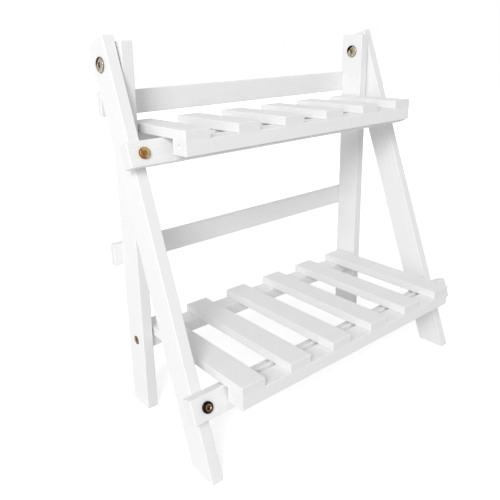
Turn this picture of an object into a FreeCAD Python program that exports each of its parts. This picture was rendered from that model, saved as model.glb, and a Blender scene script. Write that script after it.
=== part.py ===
import FreeCAD, Part
import math
import os
import Sketcher

# Two-tier folding desktop shelf in white painted wood.
# Two upright rear legs carry two back rails.
# Two front legs lean back and turn on a bolt through the top of each rear leg.
# A beam is screwed across the front legs under each shelf.
# Each slatted shelf turns on a screw in each rear leg and hooks over its beam.
# The shelf's lift and the front legs' swing fold the stand flat.
# Frame: +Z up, +X to the right, -Y to the front, millimetres.
# Origin: on the floor, at the middle of the part's box.

SLATS = 6
SIDES = ("left", "right")
LEVELS = ("lower", "upper")

SIZES = (
    # Legs
    ("legs_span", 408.0),
    ("leg_thickness", 13.0),
    ("leg_width", 32.0),
    ("leg_gap", 2.0),
    ("lean_angle", 20.0),
    ("pivot_height", 392.0),
    ("front_leg_rise", 24.0),
    ("rear_leg_rise", 22.0),
    ("edge_radius", 1.0),
    # Shelves
    ("lower_shelf_height", 100.0),
    ("upper_shelf_drop", 59.0),
    ("shelf_side_gap", 2.3),
    ("slat_width", 30.0),
    ("slat_thickness", 10.0),
    ("rail_depth", 22.0),
    ("rail_height", 15.0),
    ("hinge_drop", 6.0),
    # Beams under the shelves, and how the shelves hook over them
    ("beam_thickness", 14.0),
    ("beam_width", 25.0),
    ("beam_overhang", 10.0),
    ("seat_gap", 0.2),
    ("lower_hook_gap", 0.5),
    ("upper_hook_gap", 12.0),
    # Back rails
    ("back_rail_thickness", 9.0),
    ("back_rail_width", 25.0),
    ("back_rail_overhang", 10.0),
    ("lower_back_rail_height", 198.0),
    ("upper_back_rail_drop", 28.0),
    # Pivot bolts, sleeves and washers at the top of the legs
    ("pivot_sleeve_radius", 4.5),
    ("pivot_bolt_radius", 3.0),
    ("pivot_flange_radius", 7.8),
    ("pivot_flange_thickness", 1.8),
    ("pivot_flange_bevel", 0.8),
    ("pivot_socket_width", 5.0),
    ("pivot_socket_depth", 1.4),
    ("pivot_washer_radius", 8.0),
    ("pivot_bolt_length", 20.0),
    ("pivot_sleeve_setback", 1.5),
    ("pivot_play", 0.1),
    ("running_clearance", 0.05),
    ("thread_clearance", 0.05),
    # Screws that hold the beams
    ("beam_screw_radius", 2.5),
    ("beam_screw_head_radius", 5.8),
    ("beam_screw_head_height", 3.2),
    ("beam_screw_head_bevel", 1.4),
    ("beam_screw_bite", 22.0),
    ("beam_screw_socket_width", 4.0),
    ("beam_screw_socket_depth", 2.0),
    # Screws that the shelves turn on
    ("hinge_screw_radius", 2.5),
    ("hinge_screw_head_radius", 5.0),
    ("hinge_screw_bite", 28.0),
    ("hinge_washer_radius", 5.5),
    ("hinge_washer_play", 0.3),
    ("head_recess", 0.2),
    ("countersink_gap", 0.3),
    ("hinge_socket_width", 3.0),
    ("hinge_socket_depth", 1.5),
    # Screws that hold the back rails
    ("rail_screw_radius", 1.75),
    ("rail_screw_head_radius", 3.5),
    ("rail_screw_bite", 20.0),
    ("rail_screw_spacing", 12.0),
    # Brads that hold the slats
    ("brad_width", 1.2),
    ("brad_spacing", 16.0),
    ("brad_offset", 6.0),
    ("brad_bite", 9.0),
    ("brad_cover", 1.0),
    ("brad_clearance", 0.03),
)

doc = FreeCAD.newDocument("desktop_shelf")
sheet = doc.addObject("Spreadsheet::Sheet", "Sizes")
for row, (name, value) in enumerate(SIZES, start=1):
    sheet.set(f"A{row}", name)
    sheet.set(f"B{row}", str(value))
    sheet.setAlias(f"B{row}", name)
doc.recompute()

# Distances from the middle of the stand to the faces of the right-hand legs
FRONT_OUTER = "(Sizes.legs_span / 2)"
FRONT_INNER = f"({FRONT_OUTER} - Sizes.leg_thickness)"
REAR_OUTER = f"({FRONT_INNER} - Sizes.leg_gap)"
REAR_INNER = f"({REAR_OUTER} - Sizes.leg_thickness)"
SHELF_HALF = f"({REAR_INNER} - Sizes.shelf_side_gap)"

LEG_HALF = "(Sizes.leg_width / 2)"
LEAN = "Sizes.lean_angle"

# Top and foot of the shelf rails, from the hinge axis
RAIL_TOP = "Sizes.hinge_drop"
RAIL_FOOT = "(Sizes.hinge_drop - Sizes.rail_height)"

# From the front leg's centre line to the front face of the beams
BEAM_REACH = f"({LEG_HALF} + Sizes.beam_thickness)"

# Slats are spread evenly over the shelf's length
SLAT_PITCH = f"((2 * {SHELF_HALF} - Sizes.slat_width) / {SLATS - 1})"
FIRST_SLAT = f"(Sizes.slat_width / 2 - {SHELF_HALF})"


def from_floor_or_pivot(level, piece):
    """The lower pieces are set by their height, the upper ones by their drop below the pivot."""
    if level == "lower":
        return f"Sizes.lower_{piece}_height"
    return f"(Sizes.pivot_height - Sizes.upper_{piece}_drop)"


def slat_underside(level):
    return f"({from_floor_or_pivot(level, 'shelf')} - Sizes.slat_thickness)"


def hinge_height(level):
    return f"({slat_underside(level)} - Sizes.hinge_drop)"


def rail_back(level):
    """Rear face of the front rail, forward of the leaning beam at the rail's lower edge."""
    beam_face = f"{BEAM_REACH} / cos({LEAN})"
    drop = f"(Sizes.pivot_height - {slat_underside(level)} + Sizes.rail_height)"
    return f"(-{beam_face} - {drop} * tan({LEAN}) - Sizes.{level}_hook_gap)"


def shelf_front(level):
    return f"({rail_back(level)} - Sizes.rail_depth)"


def front_rail_middle(level):
    return f"({rail_back(level)} - Sizes.rail_depth / 2)"


def beam_top(level):
    """Top face of a beam along the front leg, with its rounded front edge just under the slats."""
    radius = "Sizes.edge_radius"
    seat = f"({slat_underside(level)} - Sizes.seat_gap - {radius} - Sizes.pivot_height)"
    return f"(({seat} - ({BEAM_REACH} - {radius}) * sin({LEAN})) / cos({LEAN}) + {radius})"


def beam_middle(level):
    return f"({beam_top(level)} - Sizes.beam_width / 2)"


def back_rail_middle(level):
    return f"({from_floor_or_pivot(level, 'back_rail')} - Sizes.back_rail_width / 2)"


BRAD_HOLE = "(Sizes.brad_width / 2 + Sizes.brad_clearance)"


def brad_places(x, y):
    """The two brads of a crossing lie on a diagonal, clear of the holes in the rail's ends."""
    return [(f"{x} {sign} Sizes.brad_spacing / 2", f"{y} {sign} Sizes.brad_offset") for sign in "-+"]


# The pivot's place puts the origin halfway between the lower shelf's front and the back rails
PIVOT_Y = f"(-({shelf_front('lower')} + {LEG_HALF} + Sizes.back_rail_thickness) / 2)"


def origin_feature(body, role):
    return next(item for item in body.Origin.OriginFeatures if item.Role == role)


def new_body(label, x, y, z, leaning=False):
    body = doc.addObject("PartDesign::Body", label)
    body.Label = label
    if leaning:
        body.Placement.Rotation = FreeCAD.Rotation(FreeCAD.Vector(1, 0, 0), -1)
        body.setExpression("Placement.Rotation.Angle", f"-{LEAN}")
    body.setExpression("Placement.Base.x", x)
    body.setExpression("Placement.Base.y", y)
    body.setExpression("Placement.Base.z", z)
    return body


def new_sketch(body, role, name, offset="0"):
    sketch = body.newObject("Sketcher::SketchObject", name)
    sketch.AttachmentSupport = (origin_feature(body, role), [""])
    sketch.MapMode = "FlatFace"
    sketch.setExpression("AttachmentOffset.Base.z", offset)
    return sketch


def bind(sketch, constraint, name, expression):
    index = sketch.addConstraint(constraint)
    sketch.renameConstraint(index, name)
    sketch.setExpression(f"Constraints.{name}", expression)


def add_polygon(sketch, corners):
    """Closed outline whose corners are pairs of expressions measured from the sketch's origin."""
    first = sketch.GeometryCount
    count = len(corners)
    step = 2 * math.pi / count
    start = [FreeCAD.Vector(math.cos(i * step), math.sin(i * step), 0) for i in range(count)]
    for i in range(count):
        sketch.addGeometry(Part.LineSegment(start[i], start[(i + 1) % count]), False)
    for i in range(count):
        sketch.addConstraint(Sketcher.Constraint("Coincident", first + i, 2, first + (i + 1) % count, 1))
    for i, (x, y) in enumerate(corners):
        line = first + i
        bind(sketch, Sketcher.Constraint("DistanceX", -1, 1, line, 1, start[i].x), f"corner{line}x", x)
        bind(sketch, Sketcher.Constraint("DistanceY", -1, 1, line, 1, start[i].y), f"corner{line}y", y)


def add_rectangle(sketch, x_low, x_high, y_low, y_high):
    add_polygon(sketch, [(x_low, y_low), (x_high, y_low), (x_high, y_high), (x_low, y_high)])


def add_square(sketch, x, y, half):
    add_rectangle(sketch, f"{x} - {half}", f"{x} + {half}", f"{y} - {half}", f"{y} + {half}")


def add_hexagon(sketch, x, y, width):
    """Regular hexagon with the given width across its flats."""
    reach = f"{width} / 2 / cos(30)"
    angles = range(0, 360, 60)
    add_polygon(sketch, [(f"{x} + {reach} * cos({a})", f"{y} + {reach} * sin({a})") for a in angles])


def add_circle(sketch, x, y, radius):
    index = sketch.addGeometry(Part.Circle(FreeCAD.Vector(1, 1, 0), FreeCAD.Vector(0, 0, 1), 1), False)
    bind(sketch, Sketcher.Constraint("DistanceX", -1, 1, index, 3, 1), f"circle{index}x", x)
    bind(sketch, Sketcher.Constraint("DistanceY", -1, 1, index, 3, 1), f"circle{index}y", y)
    bind(sketch, Sketcher.Constraint("Radius", index, 1), f"circle{index}r", radius)


def pad(body, sketch, length, symmetric=False):
    feature = body.newObject("PartDesign::Pad", "Pad")
    feature.Profile = sketch
    feature.setExpression("Length", length)
    if symmetric:
        feature.SideType = "Symmetric"
    return feature


def round_edges(body):
    board = body.Tip
    feature = body.newObject("PartDesign::Fillet", "RoundedEdges")
    feature.Base = (board, [""])
    feature.UseAllEdges = True
    feature.setExpression("Radius", "Sizes.edge_radius")
    return feature


def cut(body, sketch, depth=None, along_normal=False):
    """Pocket against the sketch's normal, or along it, through all where no depth is given."""
    feature = body.newObject("PartDesign::Pocket", "Cut")
    feature.Profile = sketch
    feature.Reversed = along_normal
    if depth is None:
        feature.Type = "ThroughAll"
    else:
        feature.Type = "Length"
        feature.setExpression("Length", depth)
    return feature


def countersink(body, sketch, radius, head_radius, along_normal=False):
    """Through holes with a 90 degree countersink for a flat screw head."""
    doc.recompute()
    feature = body.newObject("PartDesign::Hole", "ScrewHoles")
    feature.Profile = sketch
    doc.recompute()
    feature.DepthType = "ThroughAll"
    feature.Reversed = along_normal
    feature.Threaded = False
    feature.setExpression("Diameter", f"2 * ({radius})")
    feature.HoleCutType = "Countersink"
    feature.HoleCutCustomValues = True
    feature.setExpression("HoleCutDiameter", f"2 * ({head_radius})")
    feature.HoleCutCountersinkAngle = 90
    return feature


def turn(body, sketch, role):
    feature = body.newObject("PartDesign::Revolution", "Turned")
    feature.Profile = sketch
    feature.ReferenceAxis = (origin_feature(body, role), [""])
    feature.Angle = 360
    return feature


def repeat(body, feature, *steps):
    """Copies of a feature, given as (axis, length, count) for each direction."""
    patterns = []
    for axis, length, count in steps:
        pattern = body.newObject("PartDesign::LinearPattern", "Row")
        pattern.Direction = (origin_feature(body, axis), [""])
        pattern.setExpression("Length", length)
        pattern.Occurrences = count
        patterns.append(pattern)
    if len(patterns) == 1:
        patterns[0].Originals = [feature]
        body.Tip = patterns[0]
    else:
        places = body.newObject("PartDesign::MultiTransform", "Places")
        places.Originals = [feature]
        places.Transformations = patterns
        body.Tip = places


def mirror_sides(body, features):
    pair = body.newObject("PartDesign::Mirrored", "Pair")
    pair.Originals = features
    pair.MirrorPlane = (origin_feature(body, "YZ_Plane"), [""])
    body.Tip = pair


def front_leg(side):
    """Leaning leg, modelled along its own length with the pivot at its origin."""
    x = f"-{FRONT_OUTER}" if side == "left" else FRONT_INNER
    body = new_body(f"{side}_front_leg", x, PIVOT_Y, "Sizes.pivot_height", leaning=True)
    foot = f"Sizes.pivot_height / cos({LEAN})"
    bevel = f"{LEG_HALF} * tan({LEAN})"
    outline = new_sketch(body, "YZ_Plane", "Outline")
    add_polygon(outline, [
        (f"-{LEG_HALF}", "Sizes.front_leg_rise"),
        (f"-{LEG_HALF}", f"-{foot} - {bevel}"),
        (LEG_HALF, f"-{foot} + {bevel}"),
        (LEG_HALF, "Sizes.front_leg_rise"),
    ])
    pad(body, outline, "Sizes.leg_thickness")
    round_edges(body)
    pivot = new_sketch(body, "YZ_Plane", "PivotHole")
    add_circle(pivot, "0", "0", "Sizes.pivot_sleeve_radius + Sizes.running_clearance")
    cut(body, pivot, along_normal=True)
    screws = new_sketch(body, "XZ_Plane", "BeamScrewHoles", LEG_HALF)
    for level in LEVELS:
        radius = "Sizes.beam_screw_radius + Sizes.thread_clearance"
        add_circle(screws, "Sizes.leg_thickness / 2", beam_middle(level), radius)
    cut(body, screws, "Sizes.beam_screw_bite + Sizes.thread_clearance")
    return body


def rear_leg(side):
    """Upright leg with the pivot hole, the shelf hinge holes and the back rails' screw holes."""
    left = side == "left"
    body = new_body(f"{side}_rear_leg", f"-{REAR_OUTER}" if left else REAR_INNER, PIVOT_Y, "0")
    outline = new_sketch(body, "YZ_Plane", "Outline")
    add_rectangle(outline, f"-{LEG_HALF}", LEG_HALF, "0", "Sizes.pivot_height + Sizes.rear_leg_rise")
    pad(body, outline, "Sizes.leg_thickness")
    round_edges(body)
    pivot = new_sketch(body, "YZ_Plane", "PivotHole")
    add_circle(pivot, "0", "Sizes.pivot_height", "Sizes.pivot_sleeve_radius + Sizes.running_clearance")
    cut(body, pivot, along_normal=True)
    rails = new_sketch(body, "XZ_Plane", "RailScrewHoles", f"-{LEG_HALF}")
    screw = "Sizes.rail_screw_radius + Sizes.thread_clearance"
    for level in LEVELS:
        for sign in "-+":
            height = f"{back_rail_middle(level)} {sign} Sizes.rail_screw_spacing / 2"
            add_circle(rails, "Sizes.leg_thickness / 2", height, screw)
    cut(body, rails, "Sizes.rail_screw_bite + Sizes.thread_clearance", along_normal=True)
    hinges = new_sketch(body, "YZ_Plane", "HingeHoles", "0" if left else "Sizes.leg_thickness")
    radius = "Sizes.hinge_screw_radius + Sizes.running_clearance"
    for level in LEVELS:
        add_circle(hinges, "0", hinge_height(level), radius)
    head = "Sizes.hinge_screw_head_radius + Sizes.head_recess + Sizes.countersink_gap"
    countersink(body, hinges, radius, head, along_normal=left)
    return body


def back_rail(level):
    """Board across the rear faces of the rear legs, modelled about the middle of its front face."""
    y = f"{PIVOT_Y} + {LEG_HALF}"
    body = new_body(f"{level}_back_rail", "0", y, back_rail_middle(level))
    half = "Sizes.back_rail_width / 2"
    section = new_sketch(body, "YZ_Plane", "Section")
    add_rectangle(section, "0", "Sizes.back_rail_thickness", f"-{half}", half)
    pad(body, section, f"2 * ({REAR_OUTER} + Sizes.back_rail_overhang)", symmetric=True)
    round_edges(body)
    holes = new_sketch(body, "XZ_Plane", "RailScrewHoles", "-Sizes.back_rail_thickness")
    radius = "Sizes.rail_screw_radius + Sizes.thread_clearance"
    for side in "-+":
        for sign in "-+":
            x = f"{side}({REAR_INNER} + Sizes.leg_thickness / 2)"
            add_circle(holes, x, f"{sign}Sizes.rail_screw_spacing / 2", radius)
    head = "Sizes.rail_screw_head_radius + Sizes.head_recess + Sizes.thread_clearance"
    countersink(body, holes, radius, head, along_normal=True)
    return body


def back_rail_screws():
    """Flat-headed screws driven from behind, drawn once at the left and repeated."""
    x = f"-({REAR_INNER} + Sizes.leg_thickness / 2)"
    y = f"{PIVOT_Y} + {LEG_HALF} + Sizes.back_rail_thickness - Sizes.head_recess"
    z = f"{back_rail_middle('lower')} - Sizes.rail_screw_spacing / 2"
    body = new_body("back_rail_screws", x, y, z)
    length = "(Sizes.back_rail_thickness - Sizes.head_recess + Sizes.rail_screw_bite)"
    section = new_sketch(body, "XY_Plane", "Section")
    add_polygon(section, [
        ("0", "0"),
        ("Sizes.rail_screw_head_radius", "0"),
        ("Sizes.rail_screw_radius", "Sizes.rail_screw_radius - Sizes.rail_screw_head_radius"),
        ("Sizes.rail_screw_radius", f"2 * Sizes.rail_screw_radius - {length}"),
        ("0", f"-{length}"),
    ])
    screw = turn(body, section, "Y_Axis")
    repeat(
        body,
        screw,
        ("X_Axis", f"2 * {REAR_INNER} + Sizes.leg_thickness", 2),
        ("Z_Axis", "Sizes.rail_screw_spacing", 2),
        ("Z_Axis", f"{back_rail_middle('upper')} - {back_rail_middle('lower')}", 2),
    )
    return body


def beam(level):
    """Cross board on the front faces of the front legs, in the legs' leaning frame."""
    body = new_body(f"{level}_beam", "0", PIVOT_Y, "Sizes.pivot_height", leaning=True)
    section = new_sketch(body, "YZ_Plane", "Section")
    top = beam_top(level)
    add_rectangle(section, f"-{BEAM_REACH}", f"-{LEG_HALF}", f"{top} - Sizes.beam_width", top)
    pad(body, section, f"2 * ({FRONT_OUTER} + Sizes.beam_overhang)", symmetric=True)
    round_edges(body)
    holes = new_sketch(body, "XZ_Plane", "BeamScrewHoles", BEAM_REACH)
    for side in "-+":
        x = f"{side}({FRONT_INNER} + Sizes.leg_thickness / 2)"
        add_circle(holes, x, beam_middle(level), "Sizes.beam_screw_radius + Sizes.thread_clearance")
    cut(body, holes)
    return body


def beam_screws(level):
    """Round-headed socket screws that hold a beam on both front legs."""
    body = new_body(f"{level}_beam_screws", "0", PIVOT_Y, "Sizes.pivot_height", leaning=True)
    face = f"-{BEAM_REACH}"
    top = f"({BEAM_REACH} + Sizes.beam_screw_head_height)"
    rim = "Sizes.beam_screw_head_radius"
    bevel = "Sizes.beam_screw_head_bevel"
    tip = f"-{LEG_HALF} + Sizes.beam_screw_bite"
    shank = "Sizes.beam_screw_radius"
    x = f"({FRONT_INNER} + Sizes.leg_thickness / 2)"
    section = new_sketch(body, "XY_Plane", "Section", beam_middle(level))
    add_polygon(section, [
        (x, f"-{top}"),
        (f"{x} + {rim} - {bevel}", f"-{top}"),
        (f"{x} + {rim}", f"-{top} + {bevel}"),
        (f"{x} + {rim}", face),
        (f"{x} + {shank}", face),
        (f"{x} + {shank}", f"{tip} - {shank}"),
        (x, tip),
    ])
    screw = body.newObject("PartDesign::Revolution", "Turned")
    screw.Profile = section
    screw.Angle = 360
    axis = section.addGeometry(Part.LineSegment(FreeCAD.Vector(1, 0, 0), FreeCAD.Vector(1, 1, 0)), True)
    section.addConstraint(Sketcher.Constraint("Coincident", axis, 1, 0, 1))
    section.addConstraint(Sketcher.Constraint("Coincident", axis, 2, 6, 1))
    screw.ReferenceAxis = (section, ["Axis0"])
    socket = new_sketch(body, "XZ_Plane", "Socket", top)
    add_hexagon(socket, x, beam_middle(level), "Sizes.beam_screw_socket_width")
    recess = cut(body, socket, "Sizes.beam_screw_socket_depth")
    mirror_sides(body, [screw, recess])
    return body


def pivot_bolt(side):
    """Low flange-headed bolt on the outer face of a front leg, screwed into the sleeve."""
    sign = "-" if side == "left" else ""
    body = new_body(f"{side}_pivot_bolt", "0", PIVOT_Y, "Sizes.pivot_height")
    seat = f"({FRONT_OUTER} + Sizes.pivot_play)"
    top = f"({seat} + Sizes.pivot_flange_thickness)"
    rim = "Sizes.pivot_flange_radius"
    bevel = "Sizes.pivot_flange_bevel"
    shank = "Sizes.pivot_bolt_radius"
    tip = f"({seat} - Sizes.pivot_bolt_length)"
    section = new_sketch(body, "XY_Plane", "Section")
    add_polygon(section, [
        (f"{sign}{tip}", "0"),
        (f"{sign}{top}", "0"),
        (f"{sign}{top}", f"{rim} - {bevel}"),
        (f"{sign}({top} - {bevel})", rim),
        (f"{sign}{seat}", rim),
        (f"{sign}{seat}", shank),
        (f"{sign}{tip}", shank),
    ])
    turn(body, section, "X_Axis")
    socket = new_sketch(body, "YZ_Plane", "Socket", f"{sign}{top}")
    add_hexagon(socket, "0", "0", "Sizes.pivot_socket_width")
    cut(body, socket, "Sizes.pivot_socket_depth", along_normal=side == "left")
    return body


def pivot_sleeve(side):
    """Flanged sleeve nut through both legs, on which the front leg turns."""
    sign = "-" if side == "left" else ""
    body = new_body(f"{side}_pivot_sleeve", "0", PIVOT_Y, "Sizes.pivot_height")
    top = f"({REAR_INNER} - Sizes.pivot_flange_thickness)"
    end = f"({FRONT_OUTER} - Sizes.pivot_sleeve_setback)"
    rim = "Sizes.pivot_flange_radius"
    bevel = "Sizes.pivot_flange_bevel"
    barrel = "Sizes.pivot_sleeve_radius"
    bore = "Sizes.pivot_bolt_radius + Sizes.thread_clearance"
    bore_end = f"({FRONT_OUTER} + Sizes.pivot_play - Sizes.pivot_bolt_length - Sizes.thread_clearance)"
    section = new_sketch(body, "XY_Plane", "Section")
    add_polygon(section, [
        (f"{sign}{top}", "0"),
        (f"{sign}{bore_end}", "0"),
        (f"{sign}{bore_end}", bore),
        (f"{sign}{end}", bore),
        (f"{sign}{end}", barrel),
        (f"{sign}{REAR_INNER}", barrel),
        (f"{sign}{REAR_INNER}", rim),
        (f"{sign}({top} + {bevel})", rim),
        (f"{sign}{top}", f"{rim} - {bevel}"),
    ])
    turn(body, section, "X_Axis")
    socket = new_sketch(body, "YZ_Plane", "Socket", f"{sign}{top}")
    add_hexagon(socket, "0", "0", "Sizes.pivot_socket_width")
    cut(body, socket, "Sizes.pivot_socket_depth", along_normal=side == "right")
    return body


def washer(body, inner, outer, low, high):
    section = new_sketch(body, "XY_Plane", "Section")
    add_rectangle(section, low, high, inner, outer)
    return turn(body, section, "X_Axis")


def pivot_washers():
    """Spacers that keep the front legs clear of the rear legs."""
    body = new_body("pivot_washers", "0", PIVOT_Y, "Sizes.pivot_height")
    inner = "Sizes.pivot_sleeve_radius + Sizes.running_clearance"
    spacer = washer(body, inner, "Sizes.pivot_washer_radius", REAR_OUTER, f"{FRONT_INNER} - Sizes.pivot_play")
    mirror_sides(body, [spacer])
    return body


def shelf_rail(level, place, y):
    """Cross rail under the slats, with a screw hole in the end grain at both ends."""
    body = new_body(f"{level}_{place}_rail", "0", f"{PIVOT_Y} + {y}", hinge_height(level))
    depth_half = "Sizes.rail_depth / 2"
    section = new_sketch(body, "YZ_Plane", "Section")
    add_rectangle(section, f"-{depth_half}", depth_half, RAIL_FOOT, RAIL_TOP)
    pad(body, section, f"2 * {SHELF_HALF}", symmetric=True)
    round_edges(body)
    for sign in "-+":
        end = new_sketch(body, "YZ_Plane", "EndHole", f"{sign}{SHELF_HALF}")
        add_circle(end, "0", "0", "Sizes.hinge_screw_radius + Sizes.thread_clearance")
        cut(body, end, "Sizes.hinge_screw_bite + Sizes.thread_clearance", along_normal=sign == "-")
    brads = new_sketch(body, "XY_Plane", "BradHoles", RAIL_TOP)
    for x, y in brad_places(FIRST_SLAT, "0"):
        add_square(brads, x, y, BRAD_HOLE)
    holes = cut(body, brads, "Sizes.brad_bite + Sizes.brad_clearance")
    repeat(body, holes, ("X_Axis", f"{SLAT_PITCH} * {SLATS - 1}", SLATS))
    return body


def slat(level, number):
    """Board across both rails, with brad holes that stop below its painted top."""
    x = f"{FIRST_SLAT} + {SLAT_PITCH} * {number - 1}"
    body = new_body(f"{level}_slat_{number}", x, PIVOT_Y, hinge_height(level))
    outline = new_sketch(body, "XY_Plane", "Outline", RAIL_TOP)
    half = "Sizes.slat_width / 2"
    add_rectangle(outline, f"-{half}", half, shelf_front(level), "Sizes.rail_depth / 2")
    pad(body, outline, "Sizes.slat_thickness")
    round_edges(body)
    brads = new_sketch(body, "XY_Plane", "BradHoles", RAIL_TOP)
    for x, y in brad_places("0", front_rail_middle(level)) + brad_places("0", "0"):
        add_square(brads, x, y, BRAD_HOLE)
    cut(body, brads, "Sizes.slat_thickness - Sizes.brad_cover + Sizes.brad_clearance", along_normal=True)
    return body


def slat_brads(level):
    """Two brads at each crossing of a slat and a rail."""
    body = new_body(f"{level}_slat_brads", FIRST_SLAT, PIVOT_Y, hinge_height(level))
    heads = new_sketch(body, "XY_Plane", "Heads", f"{RAIL_TOP} - Sizes.brad_bite")
    for x, y in brad_places("0", front_rail_middle(level)) + brad_places("0", "0"):
        add_square(heads, x, y, "(Sizes.brad_width / 2)")
    brads = pad(body, heads, "Sizes.brad_bite + Sizes.slat_thickness - Sizes.brad_cover")
    repeat(body, brads, ("X_Axis", f"{SLAT_PITCH} * {SLATS - 1}", SLATS))
    return body


def hinge_screws(level):
    """Flat-headed screws through the rear legs into the rear rail, on which the shelf turns."""
    body = new_body(f"{level}_hinge_screws", "0", PIVOT_Y, hinge_height(level))
    face = f"({REAR_OUTER} - Sizes.head_recess)"
    head = "Sizes.hinge_screw_head_radius"
    shank = "Sizes.hinge_screw_radius"
    tip = f"({SHELF_HALF} - Sizes.hinge_screw_bite)"
    section = new_sketch(body, "XY_Plane", "Section")
    add_polygon(section, [
        (tip, "0"),
        (face, "0"),
        (face, head),
        (f"{face} - {head} + {shank}", shank),
        (f"{tip} + {shank}", shank),
    ])
    screw = turn(body, section, "X_Axis")
    socket = new_sketch(body, "YZ_Plane", "Socket", face)
    add_hexagon(socket, "0", "0", "Sizes.hinge_socket_width")
    recess = cut(body, socket, "Sizes.hinge_socket_depth")
    mirror_sides(body, [screw, recess])
    return body


def hinge_washers(level):
    """Spacers between the ends of the rear rail and the rear legs."""
    body = new_body(f"{level}_hinge_washers", "0", PIVOT_Y, hinge_height(level))
    inner = "Sizes.hinge_screw_radius + Sizes.thread_clearance"
    high = f"{REAR_INNER} - Sizes.hinge_washer_play"
    spacer = washer(body, inner, "Sizes.hinge_washer_radius", SHELF_HALF, high)
    mirror_sides(body, [spacer])
    return body


def shelf(level):
    pieces = [shelf_rail(level, "front", front_rail_middle(level)), shelf_rail(level, "rear", "0")]
    pieces += [slat(level, number) for number in range(1, SLATS + 1)]
    pieces += [slat_brads(level), hinge_screws(level), hinge_washers(level)]
    return pieces


def build():
    pieces = []
    for side in SIDES:
        pieces += [rear_leg(side), front_leg(side), pivot_bolt(side), pivot_sleeve(side)]
    pieces += [pivot_washers(), back_rail_screws()]
    for level in LEVELS:
        pieces += [back_rail(level), beam(level), beam_screws(level)]
        pieces += shelf(level)
    return pieces


def check(pieces):
    """Stops before anything is written if a feature failed or a cut removed nothing."""
    for item in doc.Objects:
        if "Invalid" in item.State or "Error" in item.State:
            raise RuntimeError(f"{item.Label} failed: {item.State}")
        if item.TypeId in ("PartDesign::Pocket", "PartDesign::Hole"):
            if item.Shape.Volume >= item.BaseFeature.Shape.Volume:
                raise RuntimeError(f"{item.Label} cuts nothing")
    for body in pieces:
        if body.Shape.isNull() or not body.Shape.isValid():
            raise RuntimeError(f"{body.Label} has no valid shape")


parts = build()
doc.recompute()
check(parts)
os.makedirs("parts", exist_ok=True)
for part in parts:
    part.Shape.exportStep(f"parts/{part.Label}.step")
    print(part.Label, len(part.Shape.Solids), round(part.Shape.Volume, 1))
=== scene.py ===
import math

import bmesh
import bpy
from mathutils import Matrix, Vector


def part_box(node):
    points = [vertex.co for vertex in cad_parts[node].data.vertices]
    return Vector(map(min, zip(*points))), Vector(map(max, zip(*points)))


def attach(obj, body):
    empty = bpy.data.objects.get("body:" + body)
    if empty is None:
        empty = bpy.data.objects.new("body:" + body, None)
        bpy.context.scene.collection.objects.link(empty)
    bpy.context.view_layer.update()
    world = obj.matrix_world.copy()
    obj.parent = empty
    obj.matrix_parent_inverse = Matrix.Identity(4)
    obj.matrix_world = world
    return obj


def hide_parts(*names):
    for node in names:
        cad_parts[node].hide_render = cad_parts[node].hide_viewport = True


# Two-tier folding desktop shelf in white painted wood with antique brass hardware.
# The solids come from the frame, in metres, +Z up, +X to the right, -Y to the front.

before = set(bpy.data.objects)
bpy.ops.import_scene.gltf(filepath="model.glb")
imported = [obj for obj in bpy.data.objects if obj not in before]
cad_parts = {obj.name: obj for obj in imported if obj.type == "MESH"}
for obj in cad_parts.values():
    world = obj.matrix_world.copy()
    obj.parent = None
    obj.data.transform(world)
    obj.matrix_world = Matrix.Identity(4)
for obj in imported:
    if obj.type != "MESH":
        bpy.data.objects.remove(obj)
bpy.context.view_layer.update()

MM = 0.001
LEAN = math.radians(20)
SLATS = 6
LEVELS = ("lower", "upper")
SIDES = ("left", "right")

# Directions in the stand, with the front legs leaning back towards their tops
RIGHT = Vector((1, 0, 0))
BACK = Vector((0, 1, 0))
UP = Vector((0, 0, 1))
LEANING_UP = Vector((0, math.sin(LEAN), math.cos(LEAN)))
LEANING_BACK = Vector((0, math.cos(LEAN), -math.sin(LEAN)))

# Camera, fitted to the photograph's outline: its place is taken from the middle, the pivots and the floor
IMAGE_SIZE = 500
FOCAL_PIXELS = 563.5
PRINCIPAL_POINT = (215.0, 210.0)
SENSOR_WIDTH = 36.0
CLIP_START = 0.01
CAMERA_PLACE = Vector((-464.3, -519.9, 408.7)) * MM
CAMERA_YAW = math.radians(-37.24)
CAMERA_PITCH = math.radians(16.48)
CAMERA_ROLL = math.radians(-1.94)

# Light levels, with lamps on the left of the stand: places in metres, watts and sizes
WHITE = (1, 1, 1, 1)
WORLD_LIGHT = 0.53
LAMP_TARGET = (0, 0, 0.2)
LAMPS = {
    "key": ((-2.84, -1.99, 2.2), 100, 1.5),
    "left_low": ((-3.94, 0, 0.9), 8, 2.0),
}

# Floor, which turns to plain white away from the stand
FLOOR_COLOUR = (0.70, 0.70, 0.70, 1)
FLOOR_ROUGHNESS = 0.9
FLOOR_HALF = 4.0
FLOOR_NEAR = 0.25
FLOOR_FAR = 1.6
FLOOR_GLOW_NEAR = 0.58
FLOOR_GLOW_FAR = 1.0

# Paint and metal colours
PAINT = (0.87, 0.87, 0.87, 1)
PAINT_SHADE = (0.80, 0.80, 0.795, 1)
PAINT_THIN = (0.74, 0.72, 0.68, 1)
BRASS_BLACK = (0.012, 0.009, 0.007, 1)
BRASS_BROWN = (0.13, 0.070, 0.038, 1)
BRASS_PINK = (0.34, 0.21, 0.145, 1)
BRASS_GOLD = (0.52, 0.32, 0.12, 1)
BRASS_RUST = (0.27, 0.125, 0.045, 1)
BRASS_OLIVE = (0.40, 0.35, 0.18, 1)
BRASS_GREY = (0.20, 0.175, 0.13, 1)
BRASS_PALE = (0.59, 0.52, 0.41, 1)
ZINC_DARK = (0.30, 0.31, 0.32, 1)
ZINC_BRIGHT = (0.62, 0.63, 0.64, 1)


# Node helpers

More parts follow.
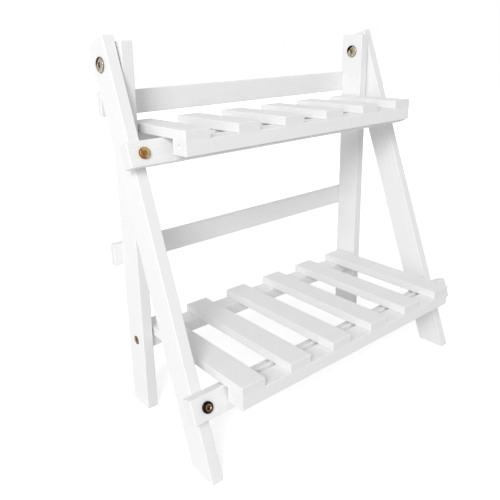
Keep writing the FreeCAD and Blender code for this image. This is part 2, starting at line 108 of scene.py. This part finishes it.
def put(tree, kind, inputs=None, **settings):
    """Adds a node, sets its settings, and links or sets its inputs by name or number."""
    made = tree.nodes.new(kind)
    for name, value in settings.items():
        setattr(made, name, value)
    for key, value in (inputs or {}).items():
        if isinstance(value, bpy.types.NodeSocket):
            tree.links.new(value, made.inputs[key])
        else:
            made.inputs[key].default_value = value
    return made


def maths(tree, operation, a, b=0.0, c=0.0):
    return put(tree, "ShaderNodeMath", {0: a, 1: b, 2: c}, operation=operation).outputs[0]


def scaled(tree, value, factor, offset):
    """A value times a factor, plus an offset."""
    return maths(tree, "MULTIPLY_ADD", value, factor, offset)


def vector_maths(tree, operation, a, b=(0, 0, 0)):
    return put(tree, "ShaderNodeVectorMath", {0: a, 1: b}, operation=operation).outputs[0]


def vector_value(tree, operation, a, b=(0, 0, 0)):
    return put(tree, "ShaderNodeVectorMath", {0: a, 1: b}, operation=operation).outputs["Value"]


def blend_colours(tree, share, a, b):
    return put(tree, "ShaderNodeMix", {0: share, 6: a, 7: b}, data_type="RGBA").outputs[2]


def ramp(tree, value, low, high, to_low=0.0, to_high=1.0):
    inputs = {0: value, 1: low, 2: high, 3: to_low, 4: to_high}
    return put(tree, "ShaderNodeMapRange", inputs, interpolation_type="SMOOTHSTEP").outputs[0]


def noise(tree, vector, scale, detail=2.0, roughness=0.5):
    inputs = {"Vector": vector, "Scale": scale, "Detail": detail, "Roughness": roughness}
    return put(tree, "ShaderNodeTexNoise", inputs).outputs[0]


def bump(tree, height, strength, depth):
    """Normal of a surface whose height differs by a depth in millimetres."""
    inputs = {"Height": height, "Strength": strength, "Distance": depth * MM}
    return put(tree, "ShaderNodeBump", inputs).outputs[0]


def object_place(tree):
    return put(tree, "ShaderNodeTexCoord").outputs["Object"]


def object_millimetres(tree):
    return vector_maths(tree, "MULTIPLY", object_place(tree), (1 / MM, 1 / MM, 1 / MM))


def new_material(name):
    material = bpy.data.materials.new(name)
    material.use_nodes = True
    tree = material.node_tree
    tree.nodes.clear()
    shader = put(tree, "ShaderNodeBsdfPrincipled")
    put(tree, "ShaderNodeOutputMaterial", {"Surface": shader.outputs[0]})
    return material, tree, shader


def dress(tree, shader, colour, roughness, normal):
    tree.links.new(colour, shader.inputs["Base Color"])
    tree.links.new(roughness, shader.inputs["Roughness"])
    tree.links.new(normal, shader.inputs["Normal"])


# White paint on wood, with lengths in millimetres and X along the grain

FIBRE_STRETCH = (0.02, 1.1, 1.1)
RING_STRETCH = (0.012, 1.0, 1.0)
RING_WAVE = {"Scale": 0.115, "Distortion": 4.0, "Detail": 2.0, "Detail Scale": 0.6}
RING_SHARE = 0.6
FIBRE_SHARE = 0.4
SEED_STEP = 137.0
PITH_ACROSS = (22.0, 33.0, 44.0, 55.0)
PITH_BELOW = (16.0, 25.0, 34.0, 43.0, 52.0)

# Distances from an edge and from an end face at which their paint starts to differ, and does so fully
EDGE_START = 1.2
EDGE_FULL = 0.2
END_START = 0.6
END_FULL = 0.1

# Levels of the patches between which the paint on an edge thins, and how much of the wood shows there
THIN_START = 0.50
THIN_FULL = 0.72
THIN_SHARE = 0.45

# Shares of grain, clouds and end faces in the paint's shade, roughness and height
GRAIN_SHADE = 0.46
END_GRAIN_SHADE = 0.38
END_SHADE = 0.15
CLOUD_SHADE = 0.22
PAINT_ROUGHNESS = 0.36
PATCH_ROUGHNESS = 0.16
END_ROUGHNESS = 0.15
SPECK_HEIGHT = 0.25
CLOUD_HEIGHT = 0.8
PAINT_BUMP = 0.30
PAINT_BUMP_DEPTH = 0.10


def paint_group():
    """Colour, roughness and bump height of a painted board, from a point on it."""
    group = bpy.data.node_groups.new("painted_board", "ShaderNodeTree")
    for name in ("Point", "Half", "Seed"):
        group.interface.new_socket(name=name, in_out="INPUT", socket_type="NodeSocketVector")
    group.interface.new_socket(name="Colour", in_out="OUTPUT", socket_type="NodeSocketColor")
    group.interface.new_socket(name="Roughness", in_out="OUTPUT", socket_type="NodeSocketFloat")
    group.interface.new_socket(name="Height", in_out="OUTPUT", socket_type="NodeSocketFloat")
    given = put(group, "NodeGroupInput").outputs
    point = given["Point"]
    moved = vector_maths(group, "ADD", point, given["Seed"])

    # Fine fibres and growth rings about a pith beside the board, both drawn out along the grain
    drawn_out = vector_maths(group, "MULTIPLY", moved, FIBRE_STRETCH)
    fibres = noise(group, drawn_out, scale=1.0, detail=3.0, roughness=0.6)
    ring_inputs = {"Vector": vector_maths(group, "MULTIPLY", moved, RING_STRETCH), **RING_WAVE}
    wave = put(group, "ShaderNodeTexWave", ring_inputs, wave_type="RINGS", rings_direction="X")
    rings = wave.outputs["Fac"]
    grain = scaled(group, rings, RING_SHARE, maths(group, "MULTIPLY", fibres, FIBRE_SHARE))

    # Distance to the nearest edge: the middle one of the distances to the three pairs of faces
    reach = vector_maths(group, "ABSOLUTE", point)
    inset = vector_maths(group, "SUBTRACT", given["Half"], reach)
    gaps = put(group, "ShaderNodeSeparateXYZ", {0: inset}).outputs
    low = maths(group, "MINIMUM", gaps[0], gaps[1])
    high = maths(group, "MAXIMUM", gaps[0], gaps[1])
    middle = maths(group, "MAXIMUM", low, maths(group, "MINIMUM", high, gaps[2]))
    edge = ramp(group, middle, EDGE_START, EDGE_FULL)
    end = ramp(group, gaps[0], END_START, END_FULL)
    patches = noise(group, moved, scale=0.12, detail=4.0, roughness=0.7)
    thin = maths(group, "MULTIPLY", edge, ramp(group, patches, THIN_START, THIN_FULL))

    # Colour: faint grain along the board, clearer rings where the paint sinks into the end grain
    cloud = noise(group, moved, scale=0.03)
    depth = scaled(group, end, END_GRAIN_SHADE, GRAIN_SHADE)
    shade = scaled(group, grain, depth, maths(group, "MULTIPLY", cloud, CLOUD_SHADE))
    shade = scaled(group, end, END_SHADE, shade)
    coat = blend_colours(group, shade, PAINT, PAINT_SHADE)
    coat = blend_colours(group, maths(group, "MULTIPLY", thin, THIN_SHARE), coat, PAINT_THIN)

    # Roughness and height
    rough = scaled(group, patches, PATCH_ROUGHNESS, PAINT_ROUGHNESS)
    rough = scaled(group, end, END_ROUGHNESS, rough)
    speck = noise(group, moved, scale=1.6, detail=1.0)
    height = scaled(group, speck, SPECK_HEIGHT, grain)
    height = scaled(group, cloud, CLOUD_HEIGHT, height)
    put(group, "NodeGroupOutput", {"Colour": coat, "Roughness": rough, "Height": height})
    return group


PAINT_GROUP = paint_group()


def corners(points):
    """Lowest and highest corner of the box round some points."""
    low = Vector([min(p[i] for p in points) for i in range(3)])
    high = Vector([max(p[i] for p in points) for i in range(3)])
    return low, high


def board_place(node, along, across):
    """Rotation, centre and half sizes of a board, measured on its solid in the board's own directions."""
    turn = Matrix((along, across, along.cross(across)))
    low, high = corners([turn @ vertex.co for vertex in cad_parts[node].data.vertices])
    back = turn.transposed()
    return back, back @ ((low + high) / 2), (high - low) / 2


def painted_wood(node, along, across, number):
    """Paint for one board. The number gives it a grain of its own."""
    turn, centre, half = board_place(node, along, across)
    material, tree, shader = new_material(f"white_paint_{node}")
    mapping = {
        "Vector": object_place(tree),
        "Location": centre,
        "Rotation": turn.to_euler(),
        "Scale": (MM, MM, MM),
    }
    point = put(tree, "ShaderNodeMapping", mapping, vector_type="TEXTURE").outputs[0]
    across_pith = PITH_ACROSS[number % len(PITH_ACROSS)]
    below_pith = PITH_BELOW[number % len(PITH_BELOW)]
    board = put(tree, "ShaderNodeGroup", node_tree=PAINT_GROUP)
    tree.links.new(point, board.inputs["Point"])
    board.inputs["Half"].default_value = half / MM
    board.inputs["Seed"].default_value = (SEED_STEP * number, across_pith, below_pith)
    normal = bump(tree, board.outputs["Height"], PAINT_BUMP, PAINT_BUMP_DEPTH)
    dress(tree, shader, board.outputs["Colour"], board.outputs["Roughness"], normal)
    return material


def board_directions():
    """Grain and width directions of every board."""
    boards = {}
    for side in SIDES:
        boards[f"{side}_rear_leg"] = (UP, BACK)
        boards[f"{side}_front_leg"] = (LEANING_UP, LEANING_BACK)
    for level in LEVELS:
        boards[f"{level}_back_rail"] = (RIGHT, UP)
        boards[f"{level}_beam"] = (RIGHT, LEANING_UP)
        boards[f"{level}_front_rail"] = (RIGHT, BACK)
        boards[f"{level}_rear_rail"] = (RIGHT, BACK)
        for number in range(1, SLATS + 1):
            boards[f"{level}_slat_{number}"] = (BACK, RIGHT)
    return boards


def set_material(obj, material):
    for index in range(len(obj.material_slots)):
        obj.material_slots[index].link = "OBJECT"
        obj.material_slots[index].material = material


PAINT_OF = {}
for count, (board_name, (grain_way, width_way)) in enumerate(board_directions().items(), start=1):
    PAINT_OF[board_name] = painted_wood(board_name, grain_way, width_way, count)
    set_material(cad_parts[board_name], PAINT_OF[board_name])


# Metals, with lengths in millimetres from the middle of a head's top

WEAR_START = 0.38
WEAR_FULL = 0.62
PAINTED_SHADE_DRIFT = 3.0
RIM_SHADE_DRIFT = 0.4
RIM_SHADE_INNER = 0.4
RIM_SHADE_OUTER = 0.5
SHADE_BLUR = 0.7
SOCKET_START = -0.3
SOCKET_DEEP = -1.0
SOCKET_OUTER = 3.0
SOCKET_INNER = 2.4
SOCKET_TARNISH = 0.7
TURNING_MARKS = 38.0
TURNING_HEIGHT = 0.3
SCRATCH_STRETCH = (0.3, 4.0, 0.9)
SCRATCH_ROUGHNESS = 0.2
TARNISH_AND_SHADE_ROUGHNESS = 0.15
METAL_BUMP = 0.2
METAL_BUMP_DEPTH = 0.05


def plated_metal(name, dark, middle, bright, rim, shaded_side, shade_reach, roughness=0.28):
    """Plating worn bright in patches, with painted shade round a head's rim and on one side of it.

    rim is the distance from the head's axis, in millimetres, at which the ring of painted shade starts.
    shaded_side points to the side of painted shade across the head, and shade_reach is how far from the
    axis that side starts."""
    material, tree, shader = new_material(name)
    point = object_millimetres(tree)
    flat = vector_maths(tree, "MULTIPLY", point, (1, 1, 0))
    radius = vector_value(tree, "LENGTH", flat)
    side = vector_value(tree, "DOT_PRODUCT", flat, shaded_side)
    height = put(tree, "ShaderNodeSeparateXYZ", {0: point}).outputs[2]

    # Worn patches, tarnish in the socket, and painted shade round the rim and on the shaded side
    patches = noise(tree, point, scale=0.45, detail=4.0, roughness=0.65)
    drift = scaled(tree, patches, PAINTED_SHADE_DRIFT, -PAINTED_SHADE_DRIFT / 2)
    worn = blend_colours(tree, ramp(tree, patches, WEAR_START, WEAR_FULL), middle, bright)
    # Painted shade: a dark ring round the rim, and a dark side across the head
    uneven = maths(tree, "ADD", radius, maths(tree, "MULTIPLY", drift, RIM_SHADE_DRIFT))
    rim_shade = ramp(tree, uneven, rim - RIM_SHADE_INNER, rim + RIM_SHADE_OUTER)
    shade = ramp(tree, maths(tree, "ADD", side, drift), shade_reach - SHADE_BLUR, shade_reach + SHADE_BLUR)
    deep = ramp(tree, height, SOCKET_START, SOCKET_DEEP)
    inside = ramp(tree, radius, SOCKET_OUTER, SOCKET_INNER, 0.0, SOCKET_TARNISH)
    socket = maths(tree, "MULTIPLY", deep, inside)
    # Painted shade of the rim and side, joined with the socket's tarnish
    tarnish_and_painted_shade = maths(tree, "MAXIMUM", maths(tree, "MAXIMUM", rim_shade, shade), socket)
    colour = blend_colours(tree, tarnish_and_painted_shade, worn, dark)

    # Turning marks on the face and scratches across it
    turning = maths(tree, "SINE", maths(tree, "MULTIPLY", radius, TURNING_MARKS))
    scratches = noise(tree, vector_maths(tree, "MULTIPLY", point, SCRATCH_STRETCH), scale=1.0)
    rough = scaled(tree, scratches, SCRATCH_ROUGHNESS, roughness - SCRATCH_ROUGHNESS / 2)
    rough = scaled(tree, tarnish_and_painted_shade, TARNISH_AND_SHADE_ROUGHNESS, rough)
    relief = scaled(tree, turning, TURNING_HEIGHT, scratches)
    dress(tree, shader, colour, rough, bump(tree, relief, METAL_BUMP, METAL_BUMP_DEPTH))
    shader.inputs["Metallic"].default_value = 1.0
    return material


PIVOT_BRASS = plated_metal(
    "antique_brass_pivot",
    dark=BRASS_BLACK,
    middle=BRASS_GREY,
    bright=BRASS_PALE,
    rim=7.8,
    shaded_side=(-0.7, 0.7, 0),
    shade_reach=3.2,
)
LOWER_BRASS = plated_metal(
    "antique_brass_lower_beam",
    dark=BRASS_BLACK,
    middle=BRASS_BROWN,
    bright=BRASS_PINK,
    rim=3.5,
    shaded_side=(0, -1, 0),
    shade_reach=3.2,
)
UPPER_BRASS = plated_metal(
    "antique_brass_upper_beam",
    dark=BRASS_RUST,
    middle=BRASS_OLIVE,
    bright=BRASS_GOLD,
    rim=5.6,
    shaded_side=(-0.95, -0.3, 0),
    shade_reach=1.4,
)
HINGE_BRASS = plated_metal(
    "antique_brass_hinge",
    dark=BRASS_BLACK,
    middle=BRASS_BROWN,
    bright=BRASS_PINK,
    rim=4.4,
    shaded_side=(0, 1, 0),
    shade_reach=3.0,
)
ZINC = plated_metal(
    "zinc_steel",
    dark=ZINC_DARK,
    middle=ZINC_BRIGHT,
    bright=ZINC_BRIGHT,
    rim=3.2,
    shaded_side=(0, -1, 0),
    shade_reach=2.8,
    roughness=0.35,
)


# Screws, bolts and sleeves in millimetres, turned about their own axis from the tip to the socket

SEGMENTS = 48
ARC_STEPS = 5
SHARP_ANGLE = math.radians(32)
HEAD_UNDERCUT = 0.2
HEAD_LIP = 0.25

# Depths in a hexagon socket, and its widths as shares of the width across its sides
HEXAGON_MOUTH = 1.28
HEXAGON_CHAMFER = 1.08
HEXAGON_POINT = 0.9
CHAMFER_DEPTH = 0.25
WALL_DEPTH = 0.45
POINT_STEP = 0.1
POINT_DEPTH = 0.5

# Depths in a cross recess, and its widths as shares of the arms' reach
CROSS_CORE = 0.32
CROSS_SHARPNESS = 6
CROSS_MOUTH = 1.15
CROSS_CHAMFER_DEPTH = 0.12
CROSS_MIDDLE = 0.6
CROSS_TIP = 0.25
CROSS_POINT = 0.1


def round_section(turn):
    return 1.0


def hexagon_section(turn):
    """Distance to the side of a hexagon that stands one unit from its middle."""
    sixth = math.pi / 3
    return 1 / math.cos(turn % sixth - sixth / 2)


def cross_section(turn):
    """Four narrow arms, one unit long, for a cross recess."""
    return CROSS_CORE + (1 - CROSS_CORE) * abs(math.cos(2 * turn)) ** CROSS_SHARPNESS


def finished_mesh(name, shape):
    """Mesh of a closed shape, smooth but for its sharp edges."""
    bmesh.ops.recalc_face_normals(shape, faces=shape.faces)
    mesh = bpy.data.meshes.new(name)
    shape.to_mesh(mesh)
    shape.free()
    mesh.polygons.foreach_set("use_smooth", [True] * len(mesh.polygons))
    mesh.set_sharp_from_angle(angle=SHARP_ANGLE)
    return mesh


def turned_mesh(name, rings):
    """Closed mesh from rings of height, radius and section, between two points on the axis."""
    shape = bmesh.new()
    loops = []
    for height, radius, section in rings[1:-1]:
        loop = []
        for index in range(SEGMENTS):
            turn = 2 * math.pi * index / SEGMENTS
            reach = radius * section(turn)
            corner = Vector((reach * math.cos(turn), reach * math.sin(turn), height))
            loop.append(shape.verts.new(corner * MM))
        loops.append(loop)
    tip = shape.verts.new(Vector((0, 0, rings[0][0])) * MM)
    floor = shape.verts.new(Vector((0, 0, rings[-1][0])) * MM)
    for index in range(SEGMENTS):
        after = (index + 1) % SEGMENTS
        for below, above in zip(loops, loops[1:]):
            shape.faces.new((below[index], below[after], above[after], above[index]))
        shape.faces.new((tip, loops[0][after], loops[0][index]))
        shape.faces.new((floor, loops[-1][index], loops[-1][after]))
    return finished_mesh(name, shape)


def rounded_rim(radius, bevel, rise):
    """Quarter of an ellipse from the side of a head to its top."""
    rings = []
    for step in range(ARC_STEPS + 1):
        turn = math.pi / 2 * step / ARC_STEPS
        rings.append((rise * (math.sin(turn) - 1), radius - bevel + bevel * math.cos(turn), round_section))
    return rings


def hexagon_socket(width, depth):
    """Chamfered mouth, flat walls and the drill point of a hexagon socket."""
    half = width / 2
    return [
        (0, half * HEXAGON_MOUTH, round_section),
        (-CHAMFER_DEPTH, half * HEXAGON_CHAMFER, hexagon_section),
        (-WALL_DEPTH, half, hexagon_section),
        (-depth, half, hexagon_section),
        (-depth - POINT_STEP, half * HEXAGON_POINT, round_section),
        (-depth - POINT_DEPTH, 0, round_section),
    ]


def cross_socket(reach, depth):
    """Cross recess that narrows to a point."""
    return [
        (0, reach * CROSS_MOUTH, round_section),
        (-CROSS_CHAMFER_DEPTH, reach, cross_section),
        (-depth * CROSS_MIDDLE, reach * CROSS_MIDDLE, cross_section),
        (-depth, reach * CROSS_TIP, cross_section),
        (-depth - CROSS_POINT, 0, round_section),
    ]


def raised_head(radius, length, height, bevel, rise, shank, socket):
    """Head that stands on the wood, with a rounded rim."""
    rings = [(-length, 0, round_section), (-length + shank, shank, round_section)]
    rings += [(-height, shank, round_section), (-height, radius - HEAD_UNDERCUT, round_section)]
    rings += [(-height + HEAD_UNDERCUT, radius, round_section)]
    return rings + rounded_rim(radius, bevel, rise) + socket


def sunk_head(radius, length, shank, socket):
    """Flat head in a countersink."""
    rings = [(-length, 0, round_section), (-length + 2 * shank, shank, round_section)]
    rings += [(-HEAD_LIP - radius + shank, shank, round_section), (-HEAD_LIP, radius, round_section)]
    return rings + rounded_rim(radius, HEAD_LIP, HEAD_LIP) + socket


def pivot_head(radius, length):
    socket = hexagon_socket(width=5.0, depth=1.3)
    return raised_head(radius, length, height=1.8, bevel=1.3, rise=0.9, shank=3.0, socket=socket)


def sleeve_head(radius, length):
    socket = hexagon_socket(width=5.0, depth=1.3)
    return raised_head(radius, length, height=1.8, bevel=1.3, rise=0.9, shank=4.5, socket=socket)


def beam_head(radius, length):
    socket = hexagon_socket(width=4.0, depth=1.9)
    return raised_head(radius, length, height=3.2, bevel=1.8, rise=1.4, shank=2.5, socket=socket)


def hinge_head(radius, length):
    return sunk_head(radius, length, shank=2.5, socket=hexagon_socket(width=3.0, depth=1.4))


def rail_head(radius, length):
    return sunk_head(radius, length, shank=1.75, socket=cross_socket(reach=2.1, depth=1.6))


# Ways that the heads face, from a point in the fastener

def away_from_middle(point):
    return RIGHT if point.x > 0 else -RIGHT


def towards_middle(point):
    return -away_from_middle(point)


def towards_front(point):
    return -LEANING_BACK


def towards_back(point):
    return BACK


# Placing of the fasteners

WELD = 0.001 * MM
SORT_DIGITS = 5


def middle_of(points):
    return sum(points, Vector()) / len(points)


def separate_solids(node):
    """Points of each solid of a node."""
    shape = bmesh.new()
    shape.from_mesh(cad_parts[node].data)
    bmesh.ops.remove_doubles(shape, verts=shape.verts, dist=WELD)
    left = set(shape.verts)
    solids = []
    while left:
        edge_of_search = [left.pop()]
        points = []
        while edge_of_search:
            vertex = edge_of_search.pop()
            points.append(vertex.co.copy())
            for edge in vertex.link_edges:
                other = edge.other_vert(vertex)
                if other in left:
                    left.remove(other)
                    edge_of_search.append(other)
        solids.append(points)
    shape.free()
    return sorted(solids, key=lambda points: tuple(round(v, SORT_DIGITS) for v in middle_of(points)))


def facing(out):
    """Turn that brings +Z to a direction and keeps +Y upwards."""
    return out.to_track_quat("Z", "Y").to_matrix()


def head_place(points, out):
    """Turn and place of a head's top, and the radius and length of the whole piece in millimetres."""
    turn = facing(out)
    low, high = corners([turn.transposed() @ p for p in points])
    top = turn @ Vector(((low.x + high.x) / 2, (low.y + high.y) / 2, high.z))
    return turn, top, (high.x - low.x) / 2 / MM, (high.z - low.z) / MM


def add_piece(name, mesh, material, body):
    obj = bpy.data.objects.new(name, mesh)
    bpy.context.scene.collection.objects.link(obj)
    mesh.materials.append(material)
    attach(obj, body)
    return obj


def add_screws(node, body, out_of, rings_of, material):
    """One turned piece for each solid of a node, in the solid's own place."""
    for number, points in enumerate(separate_solids(node), start=1):
        turn, top, radius, length = head_place(points, out_of(middle_of(points)))
        name = f"turned_{node}_{number}"
        obj = add_piece(name, turned_mesh(name, rings_of(radius, length)), material, body)
        obj.matrix_world = Matrix.Translation(top) @ turn.to_4x4()
        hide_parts(node)


for side_name in SIDES:
    add_screws(f"{side_name}_pivot_bolt", "front_frame", away_from_middle, pivot_head, PIVOT_BRASS)
    add_screws(f"{side_name}_pivot_sleeve", "rear_frame", towards_middle, sleeve_head, PIVOT_BRASS)
add_screws("back_rail_screws", "rear_frame", towards_back, rail_head, ZINC)
for level_name, beam_brass in zip(LEVELS, (LOWER_BRASS, UPPER_BRASS)):
    shelf_body = f"{level_name}_shelf"
    add_screws(f"{level_name}_beam_screws", "front_frame", towards_front, beam_head, beam_brass)
    add_screws(f"{level_name}_hinge_screws", shelf_body, away_from_middle, hinge_head, HINGE_BRASS)

# Washers and brads keep their solids
PLAIN_NODES = (
    "pivot_washers",
    "lower_hinge_washers",
    "upper_hinge_washers",
    "lower_slat_brads",
    "upper_slat_brads",
)
for plain_node in PLAIN_NODES:
    set_material(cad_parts[plain_node], ZINC)


# Paint in the mouths of the front rails' spare holes, which match the hinge holes of the rear rails

HOLE_RADIUS = 2.5
PAINT_SINK = 1.2
PAINT_DISH = 0.8
PAINT_LENGTH = 4.0
DISH_RINGS = (0.75, 0.5, 0.25, 0)
HOLE_PAINT_ROUGHNESS = 0.55
HOLE_PAINT_PATCH_ROUGHNESS = 0.2
HOLE_PAINT_BUMP = 0.4
HOLE_PAINT_BUMP_DEPTH = 0.2


def paint_plug():
    """Rings of a plug whose dished outer face lies below the end of the rail, from its inner end out."""
    rings = [(-PAINT_LENGTH, 0, round_section), (-PAINT_LENGTH, HOLE_RADIUS, round_section)]
    rings += [(-PAINT_SINK, HOLE_RADIUS, round_section)]
    for share in DISH_RINGS:
        dish = PAINT_DISH * math.sqrt(1 - share ** 2)
        rings.append((-PAINT_SINK - dish, HOLE_RADIUS * share, round_section))
    return rings


def shaded_hole_paint():
    """Matt paint in the hole, greyer than the boards: painted shade in the dish."""
    material, tree, shader = new_material("white_paint_hole")
    patches = noise(tree, object_millimetres(tree), scale=0.8, detail=3.0)
    # Painted shade: the greyer paint colour in the hole
    colour = blend_colours(tree, patches, PAINT_THIN, PAINT_SHADE)
    rough = scaled(tree, patches, HOLE_PAINT_PATCH_ROUGHNESS, HOLE_PAINT_ROUGHNESS)
    dress(tree, shader, colour, rough, bump(tree, patches, HOLE_PAINT_BUMP, HOLE_PAINT_BUMP_DEPTH))
    return material


HOLE_PAINT = shaded_hole_paint()


def add_hole_paint(level):
    rail_low, rail_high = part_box(f"{level}_front_rail")
    screw_low, screw_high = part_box(f"{level}_hinge_screws")
    middle_y = (rail_low.y + rail_high.y) / 2
    middle_z = (screw_low.z + screw_high.z) / 2
    for side, end, out in (("left", rail_low.x, -RIGHT), ("right", rail_high.x, RIGHT)):
        name = f"{level}_{side}_hole_paint"
        mesh = turned_mesh(name, paint_plug())
        mesh.transform(Matrix.Translation((end, middle_y, middle_z)) @ facing(out).to_4x4())
        add_piece(name, mesh, HOLE_PAINT, f"{level}_shelf")


for level_name in LEVELS:
    add_hole_paint(level_name)


# Paint that fills the joints between the slats' front ends and the front rails

EDGE_RADIUS = 1.0 * MM
JOINT_HALF = 1.05 * MM
JOINT_DEPTH = 1.1 * MM
JOINT_INSET = 0.02 * MM
CORNER_STEPS = 6
LEFT_CORNER = (180, 270)
RIGHT_CORNER = (270, 360)


def corner_path(centre_x, centre_y, start, end):
    """Points and outward directions round a board's upright edge, between two angles in degrees."""
    path = []
    for step in range(CORNER_STEPS + 1):
        turn = math.radians(start + (end - start) * step / CORNER_STEPS)
        out = Vector((math.cos(turn), math.sin(turn), 0))
        path.append((Vector((centre_x, centre_y, 0)) + EDGE_RADIUS * out, out))
    return path


def joint_path(level, number):
    """Points and outward directions along one slat's joint, which goes on round the ends of the rail."""
    rail_low, rail_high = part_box(f"{level}_front_rail")
    slat_low, slat_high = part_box(f"{level}_slat_{number}")
    front = rail_low.y
    rear = rail_high.y - EDGE_RADIUS
    left = slat_low.x + EDGE_RADIUS
    right = slat_high.x - EDGE_RADIUS
    path = [(Vector((left, front, 0)), -BACK), (Vector((right, front, 0)), -BACK)]
    if number == 1:
        turned = corner_path(left, front + EDGE_RADIUS, *LEFT_CORNER)
        path = [(Vector((slat_low.x, rear, 0)), -RIGHT)] + turned + path[1:]
    if number == SLATS:
        turned = corner_path(right, front + EDGE_RADIUS, *RIGHT_CORNER)
        path = path[:1] + turned + [(Vector((slat_high.x, rear, 0)), RIGHT)]
    return path


def add_bead(shape, path, height):
    """Three-sided bead along a path, flush with the boards' faces."""
    rows = []
    for point, out in path:
        face = point - JOINT_INSET * out
        low = shape.verts.new(face + (height - JOINT_HALF) * UP)
        high = shape.verts.new(face + (height + JOINT_HALF) * UP)
        root = shape.verts.new(point - JOINT_DEPTH * out + height * UP)
        rows.append((low, high, root))
    for near, far in zip(rows, rows[1:]):
        for index in range(3):
            after = (index + 1) % 3
            shape.faces.new((near[index], near[after], far[after], far[index]))
    shape.faces.new(rows[0])
    shape.faces.new(rows[-1])


def add_joint_paint(level):
    name = f"{level}_joint_paint"
    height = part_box(f"{level}_slat_1")[0].z
    shape = bmesh.new()
    for number in range(1, SLATS + 1):
        add_bead(shape, joint_path(level, number), height)
    mesh = finished_mesh(name, shape)
    add_piece(name, mesh, PAINT_OF[f"{level}_front_rail"], f"{level}_shelf")


for level_name in LEVELS:
    add_joint_paint(level_name)


# Floor, background, light and camera

def seen_rays(tree):
    """1 where the background is seen, directly or in a reflection, and 0 where it lights the object."""
    rays = put(tree, "ShaderNodeLightPath").outputs
    seen = maths(tree, "MAXIMUM", rays["Is Camera Ray"], rays["Is Glossy Ray"])
    return maths(tree, "MAXIMUM", seen, rays["Is Transmission Ray"])


def make_floor():
    mesh = bpy.data.meshes.new("floor")
    shape = bmesh.new()
    bmesh.ops.create_grid(shape, x_segments=1, y_segments=1, size=FLOOR_HALF)
    shape.to_mesh(mesh)
    shape.free()
    floor = bpy.data.objects.new("floor", mesh)
    bpy.context.scene.collection.objects.link(floor)
    material, tree, shader = new_material("pale_floor")
    shader.inputs["Base Color"].default_value = FLOOR_COLOUR
    shader.inputs["Roughness"].default_value = FLOOR_ROUGHNESS
    shader.inputs["Specular IOR Level"].default_value = 0.0
    shader.inputs["Emission Color"].default_value = WHITE
    distance = vector_value(tree, "LENGTH", object_place(tree))
    glow = ramp(tree, distance, FLOOR_NEAR, FLOOR_FAR, FLOOR_GLOW_NEAR, FLOOR_GLOW_FAR)
    tree.links.new(maths(tree, "MULTIPLY", seen_rays(tree), glow), shader.inputs["Emission Strength"])
    mesh.materials.append(material)


def make_world():
    world = bpy.data.worlds.new("studio")
    world.use_nodes = True
    tree = world.node_tree
    tree.nodes.clear()
    level = scaled(tree, seen_rays(tree), 1.0 - WORLD_LIGHT, WORLD_LIGHT)
    sky = put(tree, "ShaderNodeBackground", {"Color": WHITE, "Strength": level})
    put(tree, "ShaderNodeOutputWorld", {"Surface": sky.outputs[0]})
    bpy.context.scene.world = world


def make_lamp(name, place, power, size):
    lamp = bpy.data.lights.new(name, "AREA")
    lamp.shape = "SQUARE"
    lamp.size = size
    lamp.energy = power
    obj = bpy.data.objects.new(name, lamp)
    bpy.context.scene.collection.objects.link(obj)
    obj.location = place
    obj.rotation_euler = (Vector(LAMP_TARGET) - Vector(place)).to_track_quat("-Z", "Y").to_euler()


def make_camera():
    data = bpy.data.cameras.new("camera")
    data.sensor_width = SENSOR_WIDTH
    data.lens = FOCAL_PIXELS * SENSOR_WIDTH / IMAGE_SIZE
    data.shift_x = 0.5 - PRINCIPAL_POINT[0] / IMAGE_SIZE
    data.shift_y = PRINCIPAL_POINT[1] / IMAGE_SIZE - 0.5
    data.clip_start = CLIP_START
    camera = bpy.data.objects.new("camera", data)
    bpy.context.scene.collection.objects.link(camera)
    low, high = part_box("pivot_washers")
    pivot_y = (low.y + high.y) / 2
    ahead = Vector((
        -math.sin(CAMERA_YAW) * math.cos(CAMERA_PITCH),
        math.cos(CAMERA_YAW) * math.cos(CAMERA_PITCH),
        -math.sin(CAMERA_PITCH),
    ))
    level_right = Vector((math.cos(CAMERA_YAW), math.sin(CAMERA_YAW), 0))
    level_up = level_right.cross(ahead)
    right = math.cos(CAMERA_ROLL) * level_right + math.sin(CAMERA_ROLL) * level_up
    up = math.cos(CAMERA_ROLL) * level_up - math.sin(CAMERA_ROLL) * level_right
    turn = Matrix((right, up, -ahead)).transposed()
    camera.matrix_world = Matrix.Translation(CAMERA_PLACE + pivot_y * BACK) @ turn.to_4x4()
    bpy.context.scene.camera = camera


make_floor()
make_world()
for lamp_name, lamp_settings in LAMPS.items():
    make_lamp(lamp_name, *lamp_settings)
make_camera()
bpy.context.scene.view_settings.view_transform = "Standard"
